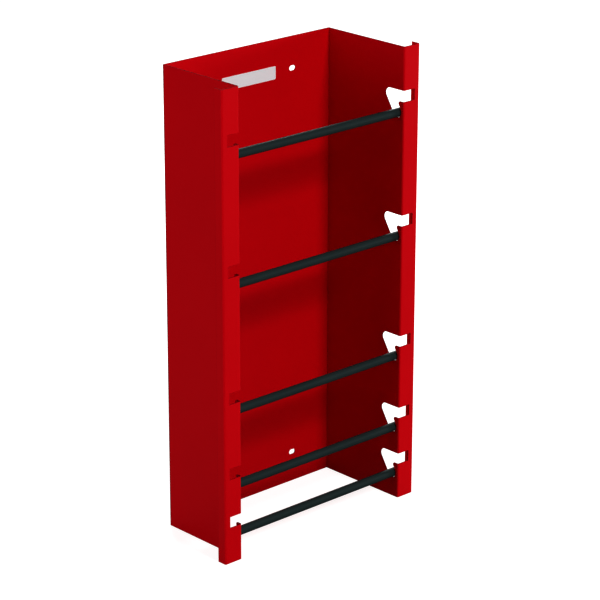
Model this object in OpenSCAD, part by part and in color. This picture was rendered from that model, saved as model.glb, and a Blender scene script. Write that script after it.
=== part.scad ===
// Open-fronted sheet-steel rack for reels. A back panel carries two folded side panels,
// and five lift-out rods lie in hooked slots cut in the sides.
// Origin: middle of the footprint, on the floor. +X is to the right, -Y is the open front.

/* [Rack] */
// Clear width between the side panels
inner_w = 513; // [360:1:900]
// Overall depth, from the rear of the back panel to the front of the flanges
depth = 256; // [150:1:400]
// Thickness of the steel sheet
sheet_t = 1.9; // [1.2:0.1:3]

/* [Bays] */
// Height of the lowest seat centre above the floor
bottom_seat_h = 63.5; // [40:0.5:200]
// Heights from each seat to the next, counted upwards
bay_pitches = [121, 186, 305, 305]; // [75:1:500]
// Panel height left above the topmost slot
head_h = 106.1; // [20:0.1:200]

/* [Side panels] */
// Inside radius of the folds
bend_r = 2; // [1:0.5:4]
// Width of flange left outside each cut
flange_land = 15.8; // [12:0.1:40]
// Depth of the return, from the front of the flange
return_d = 25.4; // [15:0.1:60]

/* [Rods] */
// Outer diameter of the rod tubes
rod_d = 21.3; // [16:0.1:27]
// Wall of the rod tubes
rod_wall = 2; // [1.2:0.1:2.6]
// Length of the part of each rod end that stands outside the side's inner face
rod_overhang = 31; // [15:0.5:60]

/* [Slots] */
// Extra width of a slot over the rod
slot_play = 5.7; // [2:0.1:10]
// Lean of the slot's channel from the vertical, in degrees
channel_lean = 32; // [20:0.5:40]
// Depth of the seat centre under the lower edge of the level entry
seat_depth = 26.4; // [22:0.1:45]
// Metal left between the fold and the slot at the seat
seat_land = 4.1; // [2:0.1:20]
// Radius on the tip of the tongue under the entry
tongue_r = 5.5; // [2:0.5:6]
// Space between a rod end and the end of the cut in the flange
rod_end_play = 4; // [1:0.5:10]
// Gap under a resting rod
seat_gap = 0.3; // [0.1:0.1:0.5]

/* [Rod plugs] */
// Thickness of the plug's head
plug_head_t = 3; // [2:0.5:6]
// Length of the spigot inside the tube
plug_spigot_l = 16; // [8:1:30]
// Wall of the hollow spigot
plug_wall = 1.6; // [1.2:0.1:2.5]
// Radial clearance of the spigot in the tube
plug_fit = 0.08; // [0.02:0.01:0.1]
// Gap between the plug's head and the end of the tube
plug_gap = 0.3; // [0.1:0.1:0.5]
// How far the head stands inside the tube's outline
plug_inset = 0.3; // [0.1:0.1:1]
// Bevel round the face of the head
plug_bevel = 1; // [0.5:0.1:1.5]

/* [Wall fixing] */
// Spacing of the fixing slots across the back
fixing_spacing = 275; // [100:1:300]
// Distance of the fixing slots from the top and bottom edges
fixing_edge = 78; // [30:1:150]
// Length of a fixing slot, along the width
fixing_slot_l = 19; // [14:0.5:30]
// Width of a fixing slot
fixing_slot_w = 12.7; // [8:0.1:13]

/* [Label plate] */
// Width of the blank label plate
label_w = 168; // [60:1:220]
// Height of the blank label plate
label_h = 32; // [15:1:60]
// Thickness of the label plate
label_t = 0.5; // [0.3:0.1:1.5]
// Corner radius of the label plate
label_r = 3; // [1:0.5:6]
// Distance of the label's centre from the top edge
label_drop = 80; // [40:1:150]

/* [Hidden] */
rod_count = len(bay_pitches) + 1;
rods = [for (i = [1 : rod_count]) i];
ends = ["left", "right"];
function tube_name(i) = str("rod_", i, "_tube");
function plug_name(i, end) = str("rod_", i, "_", end, "_plug");

$fn = 48;
over = 1;                                   // how far a cutter runs past a face
bite = 0.005;                               // how far an arc passes a wall, so that they cross
rack_red = [0.76, 0.01, 0.03];
rod_black = [0.11, 0.13, 0.13];
plug_black = [0.05, 0.05, 0.055];
label_silver = [0.82, 0.83, 0.84];

front_y = -depth / 2;                       // front face of the flanges
panel_y = depth / 2 - sheet_t;              // front face of the back panel
fold_r = bend_r + sheet_t;                  // outside radius of a fold

slot_w = rod_d + slot_play;                 // entry and channel alike
slot_r = slot_w / 2;
seat_drop = slot_w + seat_depth;            // top of the entry down to the seat centre
seat_setback = fold_r + seat_land + slot_r; // front of the flange back to the seat centre
level_h = seat_drop - slot_r;               // seat centre up to the middle of the entry
level_run = level_h * tan(channel_lean);    // seat centre back to the rear end of the entry

function sum_to(list, n) = n == 0 ? 0 : list[n - 1] + sum_to(list, n - 1);
function seat_z(i) = bottom_seat_h + sum_to(bay_pitches, i - 1);
rack_h = seat_z(rod_count) + seat_drop + head_h;

flange_cut_w = rod_overhang + rod_end_play;
flange_w = flange_cut_w + flange_land;      // inner face of the side to the return's outer face
rod_len = inner_w + 2 * rod_overhang;
tube_len = rod_len - 2 * (plug_head_t + plug_gap);
tube_bore = rod_d - 2 * rod_wall;
rod_y = front_y + seat_setback;
rod_sink = slot_play / 2 - seat_gap;        // a resting rod lies this far under the seat centre

// A quarter of a folded corner, in the plan view, around its centre of bending
module fold_corner() {
    intersection() {
        difference() {
            circle(r = fold_r);
            circle(r = bend_r);
        }
        square(fold_r);
    }
}

// Plan outline of the right side panel; x is measured from its inner face
module side_outline() {
    web_front = front_y + fold_r;
    flange_end = flange_w - fold_r;
    translate([0, web_front]) square([sheet_t, panel_y - web_front]);
    translate([fold_r, web_front]) rotate(180) fold_corner();
    translate([fold_r, front_y]) square([flange_end - fold_r, sheet_t]);
    translate([flange_end, web_front]) rotate(-90) fold_corner();
    translate([flange_w - sheet_t, web_front]) square([sheet_t, return_d - fold_r]);
}

// What rounds the tongue's tip: the corner between a level edge and the slanted wall,
// outside the tip's arc. It runs a little way into the open slot on both sides.
module tongue_tip_relief() {
    wall_off = tongue_r - bite;
    reach = wall_off / tan((90 - channel_lean) / 2);
    centre = [-reach, -wall_off];
    wall_point = -reach * [sin(channel_lean), cos(channel_lean)];
    difference() {
        polygon([[-reach, over], [over, over], wall_point + [over, 0], wall_point, centre]);
        translate(centre) circle(r = tongue_r);
    }
}

// Hooked slot seen from the side, around the seat centre; x runs to the rear, y upwards
module slot_outline() {
    entry_low = level_h - slot_r;
    front = fold_r - seat_setback - over / 2;
    tip_x = entry_low * tan(channel_lean) - slot_r / cos(channel_lean);
    circle(r = slot_r + bite);
    rotate(-channel_lean) translate([-slot_r, 0]) square([slot_w, level_h / cos(channel_lean)]);
    translate([level_run, level_h]) circle(r = slot_r + bite);
    translate([front, entry_low]) square([level_run - front, slot_w]);
    translate([tip_x, entry_low]) tongue_tip_relief();
}

// Everything one slot takes out of the right side panel, around the seat centre
module slot_cut() {
    translate([-over, 0, 0]) rotate([90, 0, 90])
        linear_extrude(sheet_t + 2 * over) slot_outline();
    translate([-over, -seat_setback - over, level_h - slot_r])
        cube([flange_cut_w + over, fold_r + over, slot_w]);
}

// Right side panel: web, front flange turned outwards and return, with its row of slots
module side_panel() {
    color(rack_red) translate([inner_w / 2, 0, 0]) difference() {
        linear_extrude(rack_h) side_outline();
        for (i = rods) translate([0, rod_y, seat_z(i)]) slot_cut();
    }
}

module left_side_panel() {
    mirror([1, 0, 0]) side_panel();
}

module right_side_panel() {
    side_panel();
}

// Round-ended slot through the back panel, lying along the width
module fixing_slot() {
    half = (fixing_slot_l - fixing_slot_w) / 2;
    translate([0, panel_y + sheet_t + over, 0]) rotate([90, 0, 0]) {
        for (side = [-1, 1]) translate([side * half, 0, 0])
            cylinder(d = fixing_slot_w, h = sheet_t + 2 * over);
        translate([-half, -fixing_slot_w / 2, 0])
            cube([2 * half, fixing_slot_w, sheet_t + 2 * over]);
    }
}

module back_panel() {
    panel_w = inner_w + 2 * sheet_t;
    color(rack_red) difference() {
        translate([-panel_w / 2, panel_y, 0]) cube([panel_w, sheet_t, rack_h]);
        for (x = [-1, 1] * fixing_spacing / 2, z = [fixing_edge, rack_h - fixing_edge])
            translate([x, 0, z]) fixing_slot();
    }
}

module label_outline() {
    square([label_w - 2 * label_r, label_h], center = true);
    square([label_w, label_h - 2 * label_r], center = true);
    for (x = [-1, 1] * (label_w / 2 - label_r), y = [-1, 1] * (label_h / 2 - label_r))
        translate([x, y]) circle(r = label_r);
}

module label_plate() {
    color(label_silver) translate([0, panel_y, rack_h - label_drop]) rotate([90, 0, 0])
        linear_extrude(label_t) label_outline();
}

// Puts children on the axis of rod i, with their z along +X
module on_rod(i) {
    translate([0, rod_y, seat_z(i) - rod_sink]) rotate([0, 90, 0]) children();
}

module rod_tube(i) {
    color(rod_black) on_rod(i) difference() {
        cylinder(d = rod_d, h = tube_len, center = true);
        cylinder(d = tube_bore, h = tube_len + 2 * over, center = true);
    }
}

// Right-hand plug about its own axis: a bevelled head at the rod's end, a hollow spigot inside
module plug() {
    head_r = rod_d / 2 - plug_inset;
    spigot_r = tube_bore / 2 - plug_fit;
    rotate_extrude() polygon([
        [0, 0], [head_r - plug_bevel, 0], [head_r, -plug_bevel], [head_r, -plug_head_t],
        [spigot_r, -plug_head_t], [spigot_r, -plug_head_t - plug_spigot_l],
        [spigot_r - plug_wall, -plug_head_t - plug_spigot_l],
        [spigot_r - plug_wall, -plug_head_t], [0, -plug_head_t]]);
}

module rod_plug(i, end) {
    color(plug_black) on_rod(i) mirror([0, 0, end == "left" ? 1 : 0])
        translate([0, 0, rod_len / 2]) plug();
}

back_panel();
left_side_panel();
right_side_panel();
label_plate();
for (i = rods) {
    rod_tube(i);
    for (end = ends) {
        rod_plug(i, end);
    }
}
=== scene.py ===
import math

import bmesh
import bpy
from mathutils import Matrix, Quaternion, Vector


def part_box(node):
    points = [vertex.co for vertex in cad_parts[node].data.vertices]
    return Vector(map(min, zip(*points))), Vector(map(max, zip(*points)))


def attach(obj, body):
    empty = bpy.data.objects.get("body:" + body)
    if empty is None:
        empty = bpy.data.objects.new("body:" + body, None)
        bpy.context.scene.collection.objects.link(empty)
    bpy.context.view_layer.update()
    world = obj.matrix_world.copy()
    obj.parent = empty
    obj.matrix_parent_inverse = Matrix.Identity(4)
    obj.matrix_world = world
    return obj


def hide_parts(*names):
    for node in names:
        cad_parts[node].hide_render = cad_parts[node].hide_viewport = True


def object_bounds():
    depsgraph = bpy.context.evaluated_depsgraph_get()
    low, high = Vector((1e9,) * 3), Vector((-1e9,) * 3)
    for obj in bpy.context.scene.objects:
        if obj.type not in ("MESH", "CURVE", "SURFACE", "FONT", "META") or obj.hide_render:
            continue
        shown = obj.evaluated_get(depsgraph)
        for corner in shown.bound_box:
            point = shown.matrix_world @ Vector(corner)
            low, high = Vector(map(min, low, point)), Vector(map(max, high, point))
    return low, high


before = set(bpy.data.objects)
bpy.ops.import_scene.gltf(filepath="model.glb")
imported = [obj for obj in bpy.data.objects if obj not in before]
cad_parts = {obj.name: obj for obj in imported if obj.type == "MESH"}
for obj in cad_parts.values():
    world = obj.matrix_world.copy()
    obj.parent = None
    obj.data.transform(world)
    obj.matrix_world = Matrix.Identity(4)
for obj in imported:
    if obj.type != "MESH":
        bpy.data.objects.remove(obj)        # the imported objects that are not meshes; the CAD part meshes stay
cad_low, cad_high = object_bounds()

MM = 0.001
ROD_NUMBERS = range(1, 6)
SIDES = ("left", "right")

# Sheet metal
WELD = 0.002 * MM                  # corners of the loose triangles closer than this are one
FLAT = math.radians(0.4)           # triangles within this angle are one flat face
SHARP = math.radians(30)           # edges that turn more than this are cut or pressed edges
SHEET_EDGE_R = 0.45 * MM           # a cut sheet edge under its powder coat
LABEL_EDGE_R = 0.12 * MM
CUT_FACE = 1.3                     # a face narrower than this many sheet thicknesses is a cut one

# Rods and their end plugs
ROUND_STEPS = 96
LEAN = (0.15, 0.97)                # the slope along the axis that a rounded corner's faces have
TUBE_WALL = 2 * MM
TUBE_EDGE_R = 0.35 * MM
PLUG_HEAD_T = 3 * MM
PLUG_SPIGOT_PLAY = 0.08 * MM
PLUG_WALL = 1.6 * MM
PLUG_CROWN = 0.3 * MM
PLUG_EDGE_R = 0.9 * MM

# Finishes
POWDER_RED = (0.62, 0.0010, 0.0060, 1)
RUBBED_RED = (0.30, 0.006, 0.010, 1)
# a darker red for the cut faces and every edge rounding, which draws a dark line along each edge
CUT_EDGE_RED = (0.20, 0.0008, 0.0050, 1)
ROD_BLACK = (0.0260, 0.0425, 0.0425, 1)
POLISHED_BLACK = (0.052, 0.068, 0.067, 1)
PLUG_BLACK = (0.016, 0.017, 0.018, 1)
RUBBED_PLUG = (0.055, 0.056, 0.057, 1)
LABEL_SILVER = (0.93, 0.96, 0.98, 1)
FLOOR_GREY = (0.30, 0.30, 0.30, 1)
SEAT_RUB = (11.5 * MM, 14.5 * MM)  # from a rod's axis: worn up to the first, untouched past the second
WEB_HALF = (1.2 * MM, 2.0 * MM)    # from the middle of a web: its own metal, then clear of it
ROD_BAND = (1.0 * MM, 3.5 * MM)    # from the middle of a web along a rod: polished, then as coated

# Camera and light, as angles round the rack's footprint and distances
VIEW_AZIMUTH = math.radians(42.961)
VIEW_ELEVATION = math.radians(19.792)
VIEW_ROLL = math.radians(0.105)
VIEW_DISTANCE = 6.0858
VIEW_LENS = 154.77
VIEW_AIM = Vector((0.0200, -0.0283, 0.5486))
VIEW_REACH = 100                   # how far the camera sees
CONTRAST = 0.75                    # the picture's gamma: under 1 deepens the shadows
ROOM_LIGHT = 0.09                  # what the room gives to the rack
ROOM_WHITE = 1.0                   # how bright the camera sees the room
FLOOR_HALF = 30
FLOOR_GLOW = 0.89                  # round the rack, where its shadow falls
FAR_FLOOR_GLOW = 1.0
FLOOR_FADE = (0.7, 1.9)            # distances from the rack between which the glow changes
SOFTBOXES = {
    # name: (azimuth, elevation, distance, width, watts)
    "front softbox": (-2, 38, 14.0, 3.5, 1410),
    "right softbox": (-64, 5, 8.0, 1.8, 270),
    "left softbox": (98, 15, 4.5, 2.6, 94),
    "rear softbox": (218, 30, 4.5, 2.0, 190),
}


# ---------------------------------------------------------------- camera, light, floor

def away(azimuth, elevation):
    """The direction from the rack to something in front of it, turned to the left by azimuth."""
    flat = math.cos(elevation)
    return Vector((-math.sin(azimuth) * flat, -math.cos(azimuth) * flat, math.sin(elevation)))


def aim(obj, place, target, roll=0.0):
    """Adds an object at a place, its -Z pointing at the target and rolled about that line."""
    turn = (target - place).to_track_quat("-Z", "Y") @ Quaternion((0, 0, 1), roll)
    obj.location = place
    obj.rotation_euler = turn.to_euler()
    bpy.context.scene.collection.objects.link(obj)


def white_room():
    """A dim white room that looks bright where the camera sees it past the floor."""
    world = bpy.data.worlds.new("white room")
    world.use_nodes = True
    tree = world.node_tree
    seen = tree.nodes.new("ShaderNodeLightPath").outputs["Is Camera Ray"]
    background = tree.nodes["Background"]
    background.inputs["Color"].default_value = (1, 1, 1, 1)
    strength = maths(tree, "MULTIPLY_ADD", seen, ROOM_WHITE - ROOM_LIGHT, ROOM_LIGHT)
    tree.links.new(strength, background.inputs["Strength"])
    return world


def studio():
    """The camera, the softboxes, a white room and a pale floor."""
    scene = bpy.context.scene
    scene.view_settings.view_transform = "Standard"
    scene.view_settings.gamma = CONTRAST

    lens = bpy.data.cameras.new("camera")
    lens.lens = VIEW_LENS
    lens.clip_end = VIEW_REACH
    camera = bpy.data.objects.new("camera", lens)
    stand = VIEW_AIM + VIEW_DISTANCE * away(VIEW_AZIMUTH, VIEW_ELEVATION)
    aim(camera, stand, VIEW_AIM, VIEW_ROLL)
    scene.camera = camera
    scene.world = white_room()

    middle = (cad_low + cad_high) / 2
    for name, (azimuth, elevation, distance, width, watts) in SOFTBOXES.items():
        lamp = bpy.data.lights.new(name, "AREA")
        lamp.shape = "DISK"
        lamp.size = width
        lamp.energy = watts
        stand = middle + distance * away(math.radians(azimuth), math.radians(elevation))
        aim(bpy.data.objects.new(name, lamp), stand, middle)

    bm = bmesh.new()
    bmesh.ops.create_grid(bm, x_segments=1, y_segments=1, size=FLOOR_HALF)
    floor = finished(bm, "studio_floor", floor_paper())


# ---------------------------------------------------------------- node helpers

VECTOR = "NodeSocketVector"
NUMBER = "NodeSocketFloat"


def add(tree, kind, inputs=None, **settings):
    """A node with its settings and inputs; an input is a value or another node's output."""
    node = tree.nodes.new(kind)
    for name, value in settings.items():
        setattr(node, name, value)
    for name, value in (inputs or {}).items():
        if isinstance(value, bpy.types.NodeSocket):
            tree.links.new(value, node.inputs[name])
        else:
            node.inputs[name].default_value = value
    return node


def maths(tree, operation, *values, clamp=False):
    """A Math node's result, for values that are numbers or other nodes' outputs."""
    node = add(tree, "ShaderNodeMath", dict(enumerate(values)), operation=operation)
    node.use_clamp = clamp
    return node.outputs[0]


def noise(tree, vector, scale, detail=2.0, rough=0.5):
    inputs = {"Vector": vector, "Scale": scale, "Detail": detail, "Roughness": rough}
    return add(tree, "ShaderNodeTexNoise", inputs).outputs["Fac"]


def spread(tree, value, low, high, to_low=0.0, to_high=1.0):
    """Maps low..high of value smoothly onto to_low..to_high and holds it there outside."""
    names = ("Value", "From Min", "From Max", "To Min", "To Max")
    inputs = dict(zip(names, (value, low, high, to_low, to_high)))
    node = add(tree, "ShaderNodeMapRange", inputs, interpolation_type="SMOOTHSTEP")
    return node.outputs["Result"]


def blend_colour(tree, factor, first, second):
    """The first colour where the factor is 0, turning into the second where it is 1."""
    node = add(tree, "ShaderNodeMix", data_type="RGBA")
    sockets = (node.inputs[0], node.inputs[6], node.inputs[7])
    for socket, value in zip(sockets, (factor, first, second)):
        if isinstance(value, bpy.types.NodeSocket):
            tree.links.new(value, socket)
        else:
            socket.default_value = value
    return node.outputs[2]


def new_group(name, inputs, outputs):
    """An empty shader group with its named sockets, what it is given, and its output node."""
    tree = bpy.data.node_groups.new(name, "ShaderNodeTree")
    for label, kind in inputs.items():
        tree.interface.new_socket(label, in_out="INPUT", socket_type=kind)
    for label, kind in outputs.items():
        tree.interface.new_socket(label, in_out="OUTPUT", socket_type=kind)
    return tree, tree.nodes.new("NodeGroupInput").outputs, tree.nodes.new("NodeGroupOutput")


def send(tree, out, **values):
    """Links values to a group's outputs of the same names."""
    for name, value in values.items():
        tree.links.new(value, out.inputs[name])


def orange_peel_group():
    """The fine ripple of a sprayed or powder coated skin: a short wave on a longer one."""
    tree, given, out = new_group(
        "orange peel", {"Vector": VECTOR, "Ripples": NUMBER, "Depth": NUMBER}, {"Height": NUMBER}
    )
    short = noise(tree, given["Vector"], given["Ripples"], 1.0)
    longer = noise(tree, given["Vector"], maths(tree, "MULTIPLY", given["Ripples"], 0.23), 2.0)
    both = maths(tree, "ADD", short, maths(tree, "MULTIPLY", longer, 1.6))
    send(tree, out, Height=maths(tree, "MULTIPLY", both, given["Depth"]))
    return tree


def uneven_coat_group():
    """Slow changes over a surface: a tint about 1 and a shift about 0."""
    tree, given, out = new_group(
        "uneven coat",
        {"Vector": VECTOR, "Patches": NUMBER, "Tint": NUMBER, "Gloss": NUMBER},
        {"Tint": NUMBER, "Shift": NUMBER},
    )
    cloud = noise(tree, given["Vector"], given["Patches"], 4.0, 0.6)
    fine = noise(tree, given["Vector"], maths(tree, "MULTIPLY", given["Patches"], 9.0), 3.0, 0.6)
    tint = maths(tree, "MULTIPLY_ADD", maths(tree, "SUBTRACT", cloud, 0.5), given["Tint"], 1.0)
    shift = maths(tree, "MULTIPLY", maths(tree, "SUBTRACT", fine, 0.5), given["Gloss"])
    send(tree, out, Tint=tint, Shift=shift)
    return tree


def worn_edge_group():
    """Breaks an even edge mask into the short runs where handling has rubbed it."""
    tree, given, out = new_group(
        "worn edge", {"Vector": VECTOR, "Edge": NUMBER, "Wear": NUMBER}, {"Mask": NUMBER}
    )
    runs = spread(tree, noise(tree, given["Vector"], 35.0, 4.0, 0.65), 0.46, 0.66)
    nicks = spread(tree, noise(tree, given["Vector"], 420.0, 3.0, 0.7), 0.42, 0.60)
    rubbed = maths(tree, "MULTIPLY", given["Edge"], maths(tree, "MULTIPLY", runs, nicks))
    send(tree, out, Mask=maths(tree, "MULTIPLY", rubbed, given["Wear"]))
    return tree


def scuff_group():
    """Long faint scratches along one direction, which is the Vector's X."""
    tree, given, out = new_group(
        "fine scuffs", {"Vector": VECTOR, "Lines": NUMBER, "Amount": NUMBER}, {"Mask": NUMBER}
    )
    stretched = add(
        tree, "ShaderNodeMapping", {"Vector": given["Vector"], "Scale": (0.06, 1.0, 1.0)}
    ).outputs[0]
    lines = spread(tree, noise(tree, stretched, given["Lines"], 3.0, 0.6), 0.60, 0.74)
    places = spread(tree, noise(tree, given["Vector"], 14.0, 2.0), 0.48, 0.66)
    both = maths(tree, "MULTIPLY", lines, places)
    send(tree, out, Mask=maths(tree, "MULTIPLY", both, given["Amount"]))
    return tree


ORANGE_PEEL = orange_peel_group()
UNEVEN_COAT = uneven_coat_group()
WORN_EDGE = worn_edge_group()
FINE_SCUFFS = scuff_group()


def use(tree, group, **inputs):
    """The outputs of a shader group placed in a material with its own values."""
    node = tree.nodes.new("ShaderNodeGroup")
    node.node_tree = group
    for name, value in inputs.items():
        if isinstance(value, bpy.types.NodeSocket):
            tree.links.new(value, node.inputs[name])
        else:
            node.inputs[name].default_value = value
    return node.outputs


def new_material(name):
    """A material with its tree, its shader and its Object coordinates."""
    material = bpy.data.materials.new(name)
    material.use_nodes = True
    tree = material.node_tree
    shader = tree.nodes["Principled BSDF"]
    place = tree.nodes.new("ShaderNodeTexCoord").outputs["Object"]
    return material, tree, shader, place


def tinted(tree, colour, tint):
    """A colour made lighter or darker by a tint about 1."""
    node = add(tree, "ShaderNodeVectorMath", {0: colour[:3], 1: tint}, operation="MULTIPLY")
    return node.outputs[0]


def bump(tree, shader, height):
    """Raises the surface by a height in metres."""
    inputs = {"Height": height, "Strength": 1.0, "Distance": 1.0}
    tree.links.new(add(tree, "ShaderNodeBump", inputs).outputs[0], shader.inputs["Normal"])


# ---------------------------------------------------------------- measures from the frame

def rod_axis(number):
    """The middle of a rod, which lies on its axis."""
    low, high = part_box(f"rod_{number}_tube")
    return (low + high) / 2


def web_middle():
    """How far a side panel's web is from the middle of the rack, to the middle of its sheet."""
    low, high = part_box("back_panel")
    sheet = high.y - low.y
    return (high.x - low.x - sheet) / 2


# ---------------------------------------------------------------- finishes

def seat_rub(tree, place):
    """1 on the webs, close round each resting rod's axis: where the rods rub the slots' edges."""
    parts = add(tree, "ShaderNodeSeparateXYZ", {0: place}).outputs
    off_web = maths(tree, "SUBTRACT", maths(tree, "ABSOLUTE", parts[0]), web_middle())
    on_web = spread(tree, off_web, *WEB_HALF, 1.0, 0.0)
    flat = add(tree, "ShaderNodeCombineXYZ", {1: parts[1], 2: parts[2]}).outputs[0]
    nearest = None
    for number in ROD_NUMBERS:
        axis = rod_axis(number)
        gap = add(
            tree, "ShaderNodeVectorMath", {0: flat, 1: (0, axis.y, axis.z)}, operation="DISTANCE"
        ).outputs["Value"]
        nearest = gap if nearest is None else maths(tree, "MINIMUM", nearest, gap)
    return maths(tree, "MULTIPLY", on_web, spread(tree, nearest, *SEAT_RUB, 1.0, 0.0))


def red_powder_coat():
    """Glossy red powder on the folded sheets, worn at edges and seats, rough and a darker red on cut
    faces and edge roundings.
    """
    material, tree, shader, place = new_material("red powder coat")
    coat = use(tree, UNEVEN_COAT, Vector=place, Patches=3.2, Tint=0.10, Gloss=0.12)
    edge = add(tree, "ShaderNodeAttribute", attribute_name="edge").outputs["Fac"]
    wear = use(tree, WORN_EDGE, Vector=place, Edge=edge, Wear=0.55)["Mask"]
    seats = maths(
        tree,
        "MULTIPLY",
        seat_rub(tree, place),
        spread(tree, noise(tree, place, 160.0, 3.0), 0.40, 0.62),
    )
    worn = maths(tree, "MAXIMUM", wear, maths(tree, "MULTIPLY", seats, 0.6))
    cut = add(tree, "ShaderNodeAttribute", attribute_name="cut").outputs["Fac"]
    # cut faces and edge roundings take the darker red: a dark line along every edge
    base = blend_colour(tree, cut, tinted(tree, POWDER_RED, coat["Tint"]), CUT_EDGE_RED)
    tree.links.new(blend_colour(tree, worn, base, RUBBED_RED), shader.inputs["Base Color"])
    scuffs = use(tree, FINE_SCUFFS, Vector=place, Lines=220.0, Amount=0.10)["Mask"]
    sheen = maths(tree, "ADD", maths(tree, "ADD", coat["Shift"], 0.42), scuffs)
    roughness = maths(tree, "MULTIPLY_ADD", cut, 0.4, sheen, clamp=True)
    tree.links.new(roughness, shader.inputs["Roughness"])
    peel = use(tree, ORANGE_PEEL, Vector=place, Ripples=430.0, Depth=0.035 * MM)["Height"]
    chipped = maths(tree, "MULTIPLY", worn, -0.05 * MM)
    bump(tree, shader, maths(tree, "ADD", peel, chipped))
    shader.inputs["Specular IOR Level"].default_value = 0.07
    shader.inputs["Specular Tint"].default_value = (0.55, 0.25, 1.0, 1)
    return material


def black_rod_coat():
    """Satin black powder on the rods, polished where they lie in their seats."""
    material, tree, shader, place = new_material("black rod coat")
    coat = use(tree, UNEVEN_COAT, Vector=place, Patches=9.0, Tint=0.35, Gloss=0.16)
    along = maths(tree, "ABSOLUTE", add(tree, "ShaderNodeSeparateXYZ", {0: place}).outputs[0])
    seat_x = (cad_high.x + cad_low.x) / 2 + web_middle()
    off_seat = maths(tree, "ABSOLUTE", maths(tree, "SUBTRACT", along, seat_x))
    band = spread(tree, off_seat, *ROD_BAND, 1.0, 0.0)
    rubbed = maths(tree, "MULTIPLY", band, spread(tree, noise(tree, place, 300.0, 3.0), 0.38, 0.62))
    scuffs = use(tree, FINE_SCUFFS, Vector=place, Lines=500.0, Amount=0.35)["Mask"]
    worn = maths(tree, "MAXIMUM", maths(tree, "MULTIPLY", rubbed, 0.7), scuffs)
    base = tinted(tree, ROD_BLACK, coat["Tint"])
    tree.links.new(blend_colour(tree, worn, base, POLISHED_BLACK), shader.inputs["Base Color"])
    roughness = maths(tree, "ADD", coat["Shift"], 0.46)
    polished = maths(tree, "MULTIPLY_ADD", worn, -0.15, roughness, clamp=True)
    tree.links.new(polished, shader.inputs["Roughness"])
    peel = use(tree, ORANGE_PEEL, Vector=place, Ripples=520.0, Depth=0.03 * MM)["Height"]
    bump(tree, shader, peel)
    shader.inputs["Specular IOR Level"].default_value = 0.06
    return material


def black_plug_plastic():
    """Grained black plastic, paler where its edges are rubbed."""
    material, tree, shader, place = new_material("moulded black plastic")
    coat = use(tree, UNEVEN_COAT, Vector=place, Patches=60.0, Tint=0.30, Gloss=0.12)
    edge = add(tree, "ShaderNodeAttribute", attribute_name="edge").outputs["Fac"]
    wear = use(tree, WORN_EDGE, Vector=place, Edge=edge, Wear=0.5)["Mask"]
    base = tinted(tree, PLUG_BLACK, coat["Tint"])
    tree.links.new(blend_colour(tree, wear, base, RUBBED_PLUG), shader.inputs["Base Color"])
    roughness = maths(tree, "ADD", coat["Shift"], 0.55, clamp=True)
    tree.links.new(roughness, shader.inputs["Roughness"])
    grain = add(tree, "ShaderNodeTexVoronoi", {"Vector": place, "Scale": 1600.0}).outputs[0]
    bump(tree, shader, maths(tree, "MULTIPLY", grain, 0.02 * MM))
    shader.inputs["Specular IOR Level"].default_value = 0.4
    return material


def silver_label_film():
    """A plain silver-grey film, brushed lengthwise."""
    material, tree, shader, place = new_material("silver label film")
    coat = use(tree, UNEVEN_COAT, Vector=place, Patches=26.0, Tint=0.06, Gloss=0.10)
    tree.links.new(tinted(tree, LABEL_SILVER, coat["Tint"]), shader.inputs["Base Color"])
    brushed = use(tree, FINE_SCUFFS, Vector=place, Lines=900.0, Amount=0.12)["Mask"]
    roughness = maths(tree, "ADD", maths(tree, "ADD", coat["Shift"], 0.36), brushed, clamp=True)
    tree.links.new(roughness, shader.inputs["Roughness"])
    ripple = use(tree, ORANGE_PEEL, Vector=place, Ripples=140.0, Depth=0.02 * MM)["Height"]
    bump(tree, shader, ripple)
    shader.inputs["Metallic"].default_value = 0.06
    return material


def floor_paper():
    """Pale paper that looks white to the camera and takes only a faint shadow."""
    material, tree, shader, place = new_material("studio floor paper")
    coat = use(tree, UNEVEN_COAT, Vector=place, Patches=0.8, Tint=0.02, Gloss=0.05)
    tree.links.new(tinted(tree, FLOOR_GREY, coat["Tint"]), shader.inputs["Base Color"])
    shader.inputs["Roughness"].default_value = 0.8
    shader.inputs["Specular IOR Level"].default_value = 0.0
    shader.inputs["Emission Color"].default_value = (1, 1, 1, 1)
    seen = tree.nodes.new("ShaderNodeLightPath").outputs["Is Camera Ray"]
    away_from_rack = add(tree, "ShaderNodeVectorMath", {0: place}, operation="LENGTH").outputs[1]
    glow = spread(tree, away_from_rack, *FLOOR_FADE, FLOOR_GLOW, FAR_FLOOR_GLOW)
    tree.links.new(maths(tree, "MULTIPLY", seen, glow), shader.inputs["Emission Strength"])
    return material


# ---------------------------------------------------------------- making pieces

def finished(bm, name, material, weighted=False):
    """Turns the bmesh into a smooth-shaded object at the origin, with its material."""
    mesh = bpy.data.meshes.new(name)
    bm.to_mesh(mesh)
    bm.free()
    mesh.shade_smooth()
    mesh.materials.append(material)
    piece = bpy.data.objects.new(name, mesh)
    bpy.context.scene.collection.objects.link(piece)
    if weighted:
        normals = piece.modifiers.new("flat faces stay flat", "WEIGHTED_NORMAL")
        normals.weight = 100
        normals.keep_sharp = True
    return piece


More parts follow.
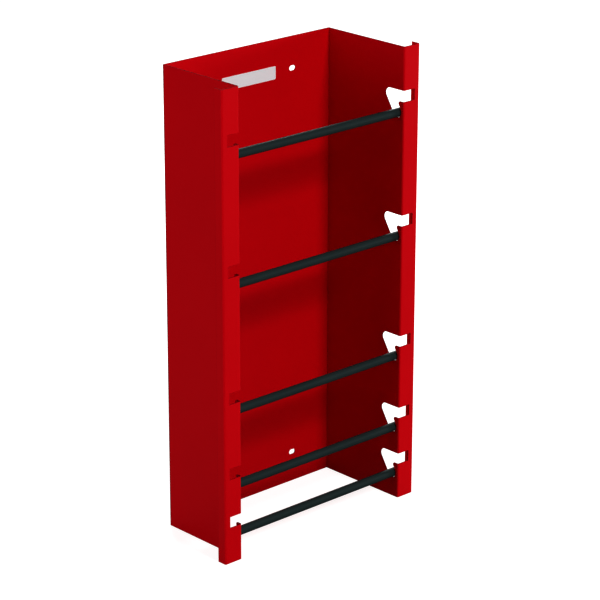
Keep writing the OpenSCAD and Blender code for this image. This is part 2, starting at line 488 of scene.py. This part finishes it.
def bevelled_copy(node, edge_r, segments, thickness):
    """A CAD node's shape, welded into flat faces, with its sharp edges rounded.

    The edge layer marks the roundings. The cut layer marks them too, and the narrow faces
    between them, where the sheet of this thickness was cut.
    """
    bm = bmesh.new()
    bm.from_mesh(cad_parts[node].data)
    bmesh.ops.remove_doubles(bm, verts=bm.verts, dist=WELD)
    bmesh.ops.dissolve_limit(bm, angle_limit=FLAT, verts=bm.verts, edges=bm.edges)
    sharp = [e for e in bm.edges if e.is_manifold and e.calc_face_angle() > SHARP]
    sharp_set = set(sharp)
    mark = bm.faces.layers.float.new("edge")
    cut = bm.faces.layers.float.new("cut")
    for face in bm.faces:
        brink = sum(e.calc_length() for e in face.edges if e in sharp_set)
        face[cut] = 1.0 if brink and 2 * face.calc_area() / brink < CUT_FACE * thickness else 0.0
    rounded = bmesh.ops.bevel(
        bm,
        geom=sharp,
        offset=edge_r,
        offset_type="OFFSET",
        affect="EDGES",
        segments=segments,
        profile=0.5,
        material=-1,
        clamp_overlap=True,
    )
    for face in rounded["faces"]:
        face[mark] = 1.0
        face[cut] = 1.0
    return bm


def lathed(profile, edge_r):
    """Spins a profile of (radius, height) round the Z axis, its corners rounded first.

    The edge layer marks the roundings: their faces look neither along Z nor straight out.
    """
    bm = bmesh.new()
    line = [bm.verts.new((radius, 0, height)) for radius, height in profile]
    for pair in zip(line, line[1:]):
        bm.edges.new(pair)
    corners = [v for v in line if len(v.link_edges) == 2]
    bmesh.ops.bevel(
        bm,
        geom=corners,
        offset=edge_r,
        offset_type="OFFSET",
        affect="VERTICES",
        segments=3,
        profile=0.5,
        material=-1,
        clamp_overlap=True,
    )
    bmesh.ops.spin(
        bm,
        geom=bm.verts[:] + bm.edges[:],
        cent=(0, 0, 0),
        axis=(0, 0, 1),
        angle=math.tau,
        steps=ROUND_STEPS,
        use_merge=True,
    )
    bmesh.ops.remove_doubles(bm, verts=bm.verts, dist=WELD)
    bmesh.ops.recalc_face_normals(bm, faces=bm.faces)
    mark = bm.faces.layers.float.new("edge")
    for face in bm.faces:
        face[mark] = 1.0 if LEAN[0] < abs(face.normal.z) < LEAN[1] else 0.0
    return bm


# ---------------------------------------------------------------- the rack's own pieces

def rack_panels():
    red = red_powder_coat()
    low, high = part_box("back_panel")
    sheet_t = high.y - low.y
    for node in ("back_panel", "left_side_panel", "right_side_panel"):
        shape = bevelled_copy(node, SHEET_EDGE_R, 2, sheet_t)
        panel = finished(shape, f"{node}_sheet", red, weighted=True)
        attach(panel, "rack")
        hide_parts(node)


def blank_label():
    film = silver_label_film()
    low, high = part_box("label_plate")
    bm = bevelled_copy("label_plate", LABEL_EDGE_R, 2, high.y - low.y)
    label = finished(bm, "label_film", film, weighted=True)
    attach(label, "rack")
    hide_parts("label_plate")


def rod_tubes():
    coat = black_rod_coat()
    for number in ROD_NUMBERS:
        node = f"rod_{number}_tube"
        low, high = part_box(node)
        outer = (high.z - low.z) / 2
        inner = outer - TUBE_WALL
        half = (high.x - low.x) / 2
        ring = [(inner, -half), (outer, -half), (outer, half), (inner, half), (inner, -half)]
        bm = lathed(ring, TUBE_EDGE_R)
        turned = Matrix.Translation((low + high) / 2) @ Matrix.Rotation(math.pi / 2, 4, "Y")
        bmesh.ops.transform(bm, matrix=turned, verts=bm.verts)
        tube = finished(bm, f"rod_{number}_coated_tube", coat, weighted=True)
        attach(tube, f"rod_{number}_tube")
        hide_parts(node)


def rod_plugs():
    plastic = black_plug_plastic()
    for number in ROD_NUMBERS:
        for side in SIDES:
            node = f"rod_{number}_{side}_plug"
            low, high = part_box(node)
            tube_low, tube_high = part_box(f"rod_{number}_tube")
            spigot = (tube_high.z - tube_low.z) / 2 - TUBE_WALL - PLUG_SPIGOT_PLAY
            head = (high.z - low.z) / 2
            length = high.x - low.x
            profile = [
                (0, 0),
                (head * 0.55, -PLUG_CROWN * 0.3),
                (head, -PLUG_CROWN),
                (head, -PLUG_HEAD_T),
                (spigot, -PLUG_HEAD_T),
                (spigot, -length),
                (spigot - PLUG_WALL, -length),
                (spigot - PLUG_WALL, -PLUG_HEAD_T),
                (0, -PLUG_HEAD_T),
            ]
            bm = lathed(profile, PLUG_EDGE_R)
            way = 1 if side == "right" else -1
            end = Vector((high.x if side == "right" else low.x, 0, 0))
            end.y, end.z = (low.y + high.y) / 2, (low.z + high.z) / 2
            turned = Matrix.Translation(end) @ Matrix.Rotation(way * math.pi / 2, 4, "Y")
            bmesh.ops.transform(bm, matrix=turned, verts=bm.verts)
            plug = finished(bm, f"rod_{number}_{side}_end_plug", plastic, weighted=True)
            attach(plug, f"rod_{number}_ends")
            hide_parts(node)


studio()
rack_panels()
blank_label()
rod_tubes()
rod_plugs()
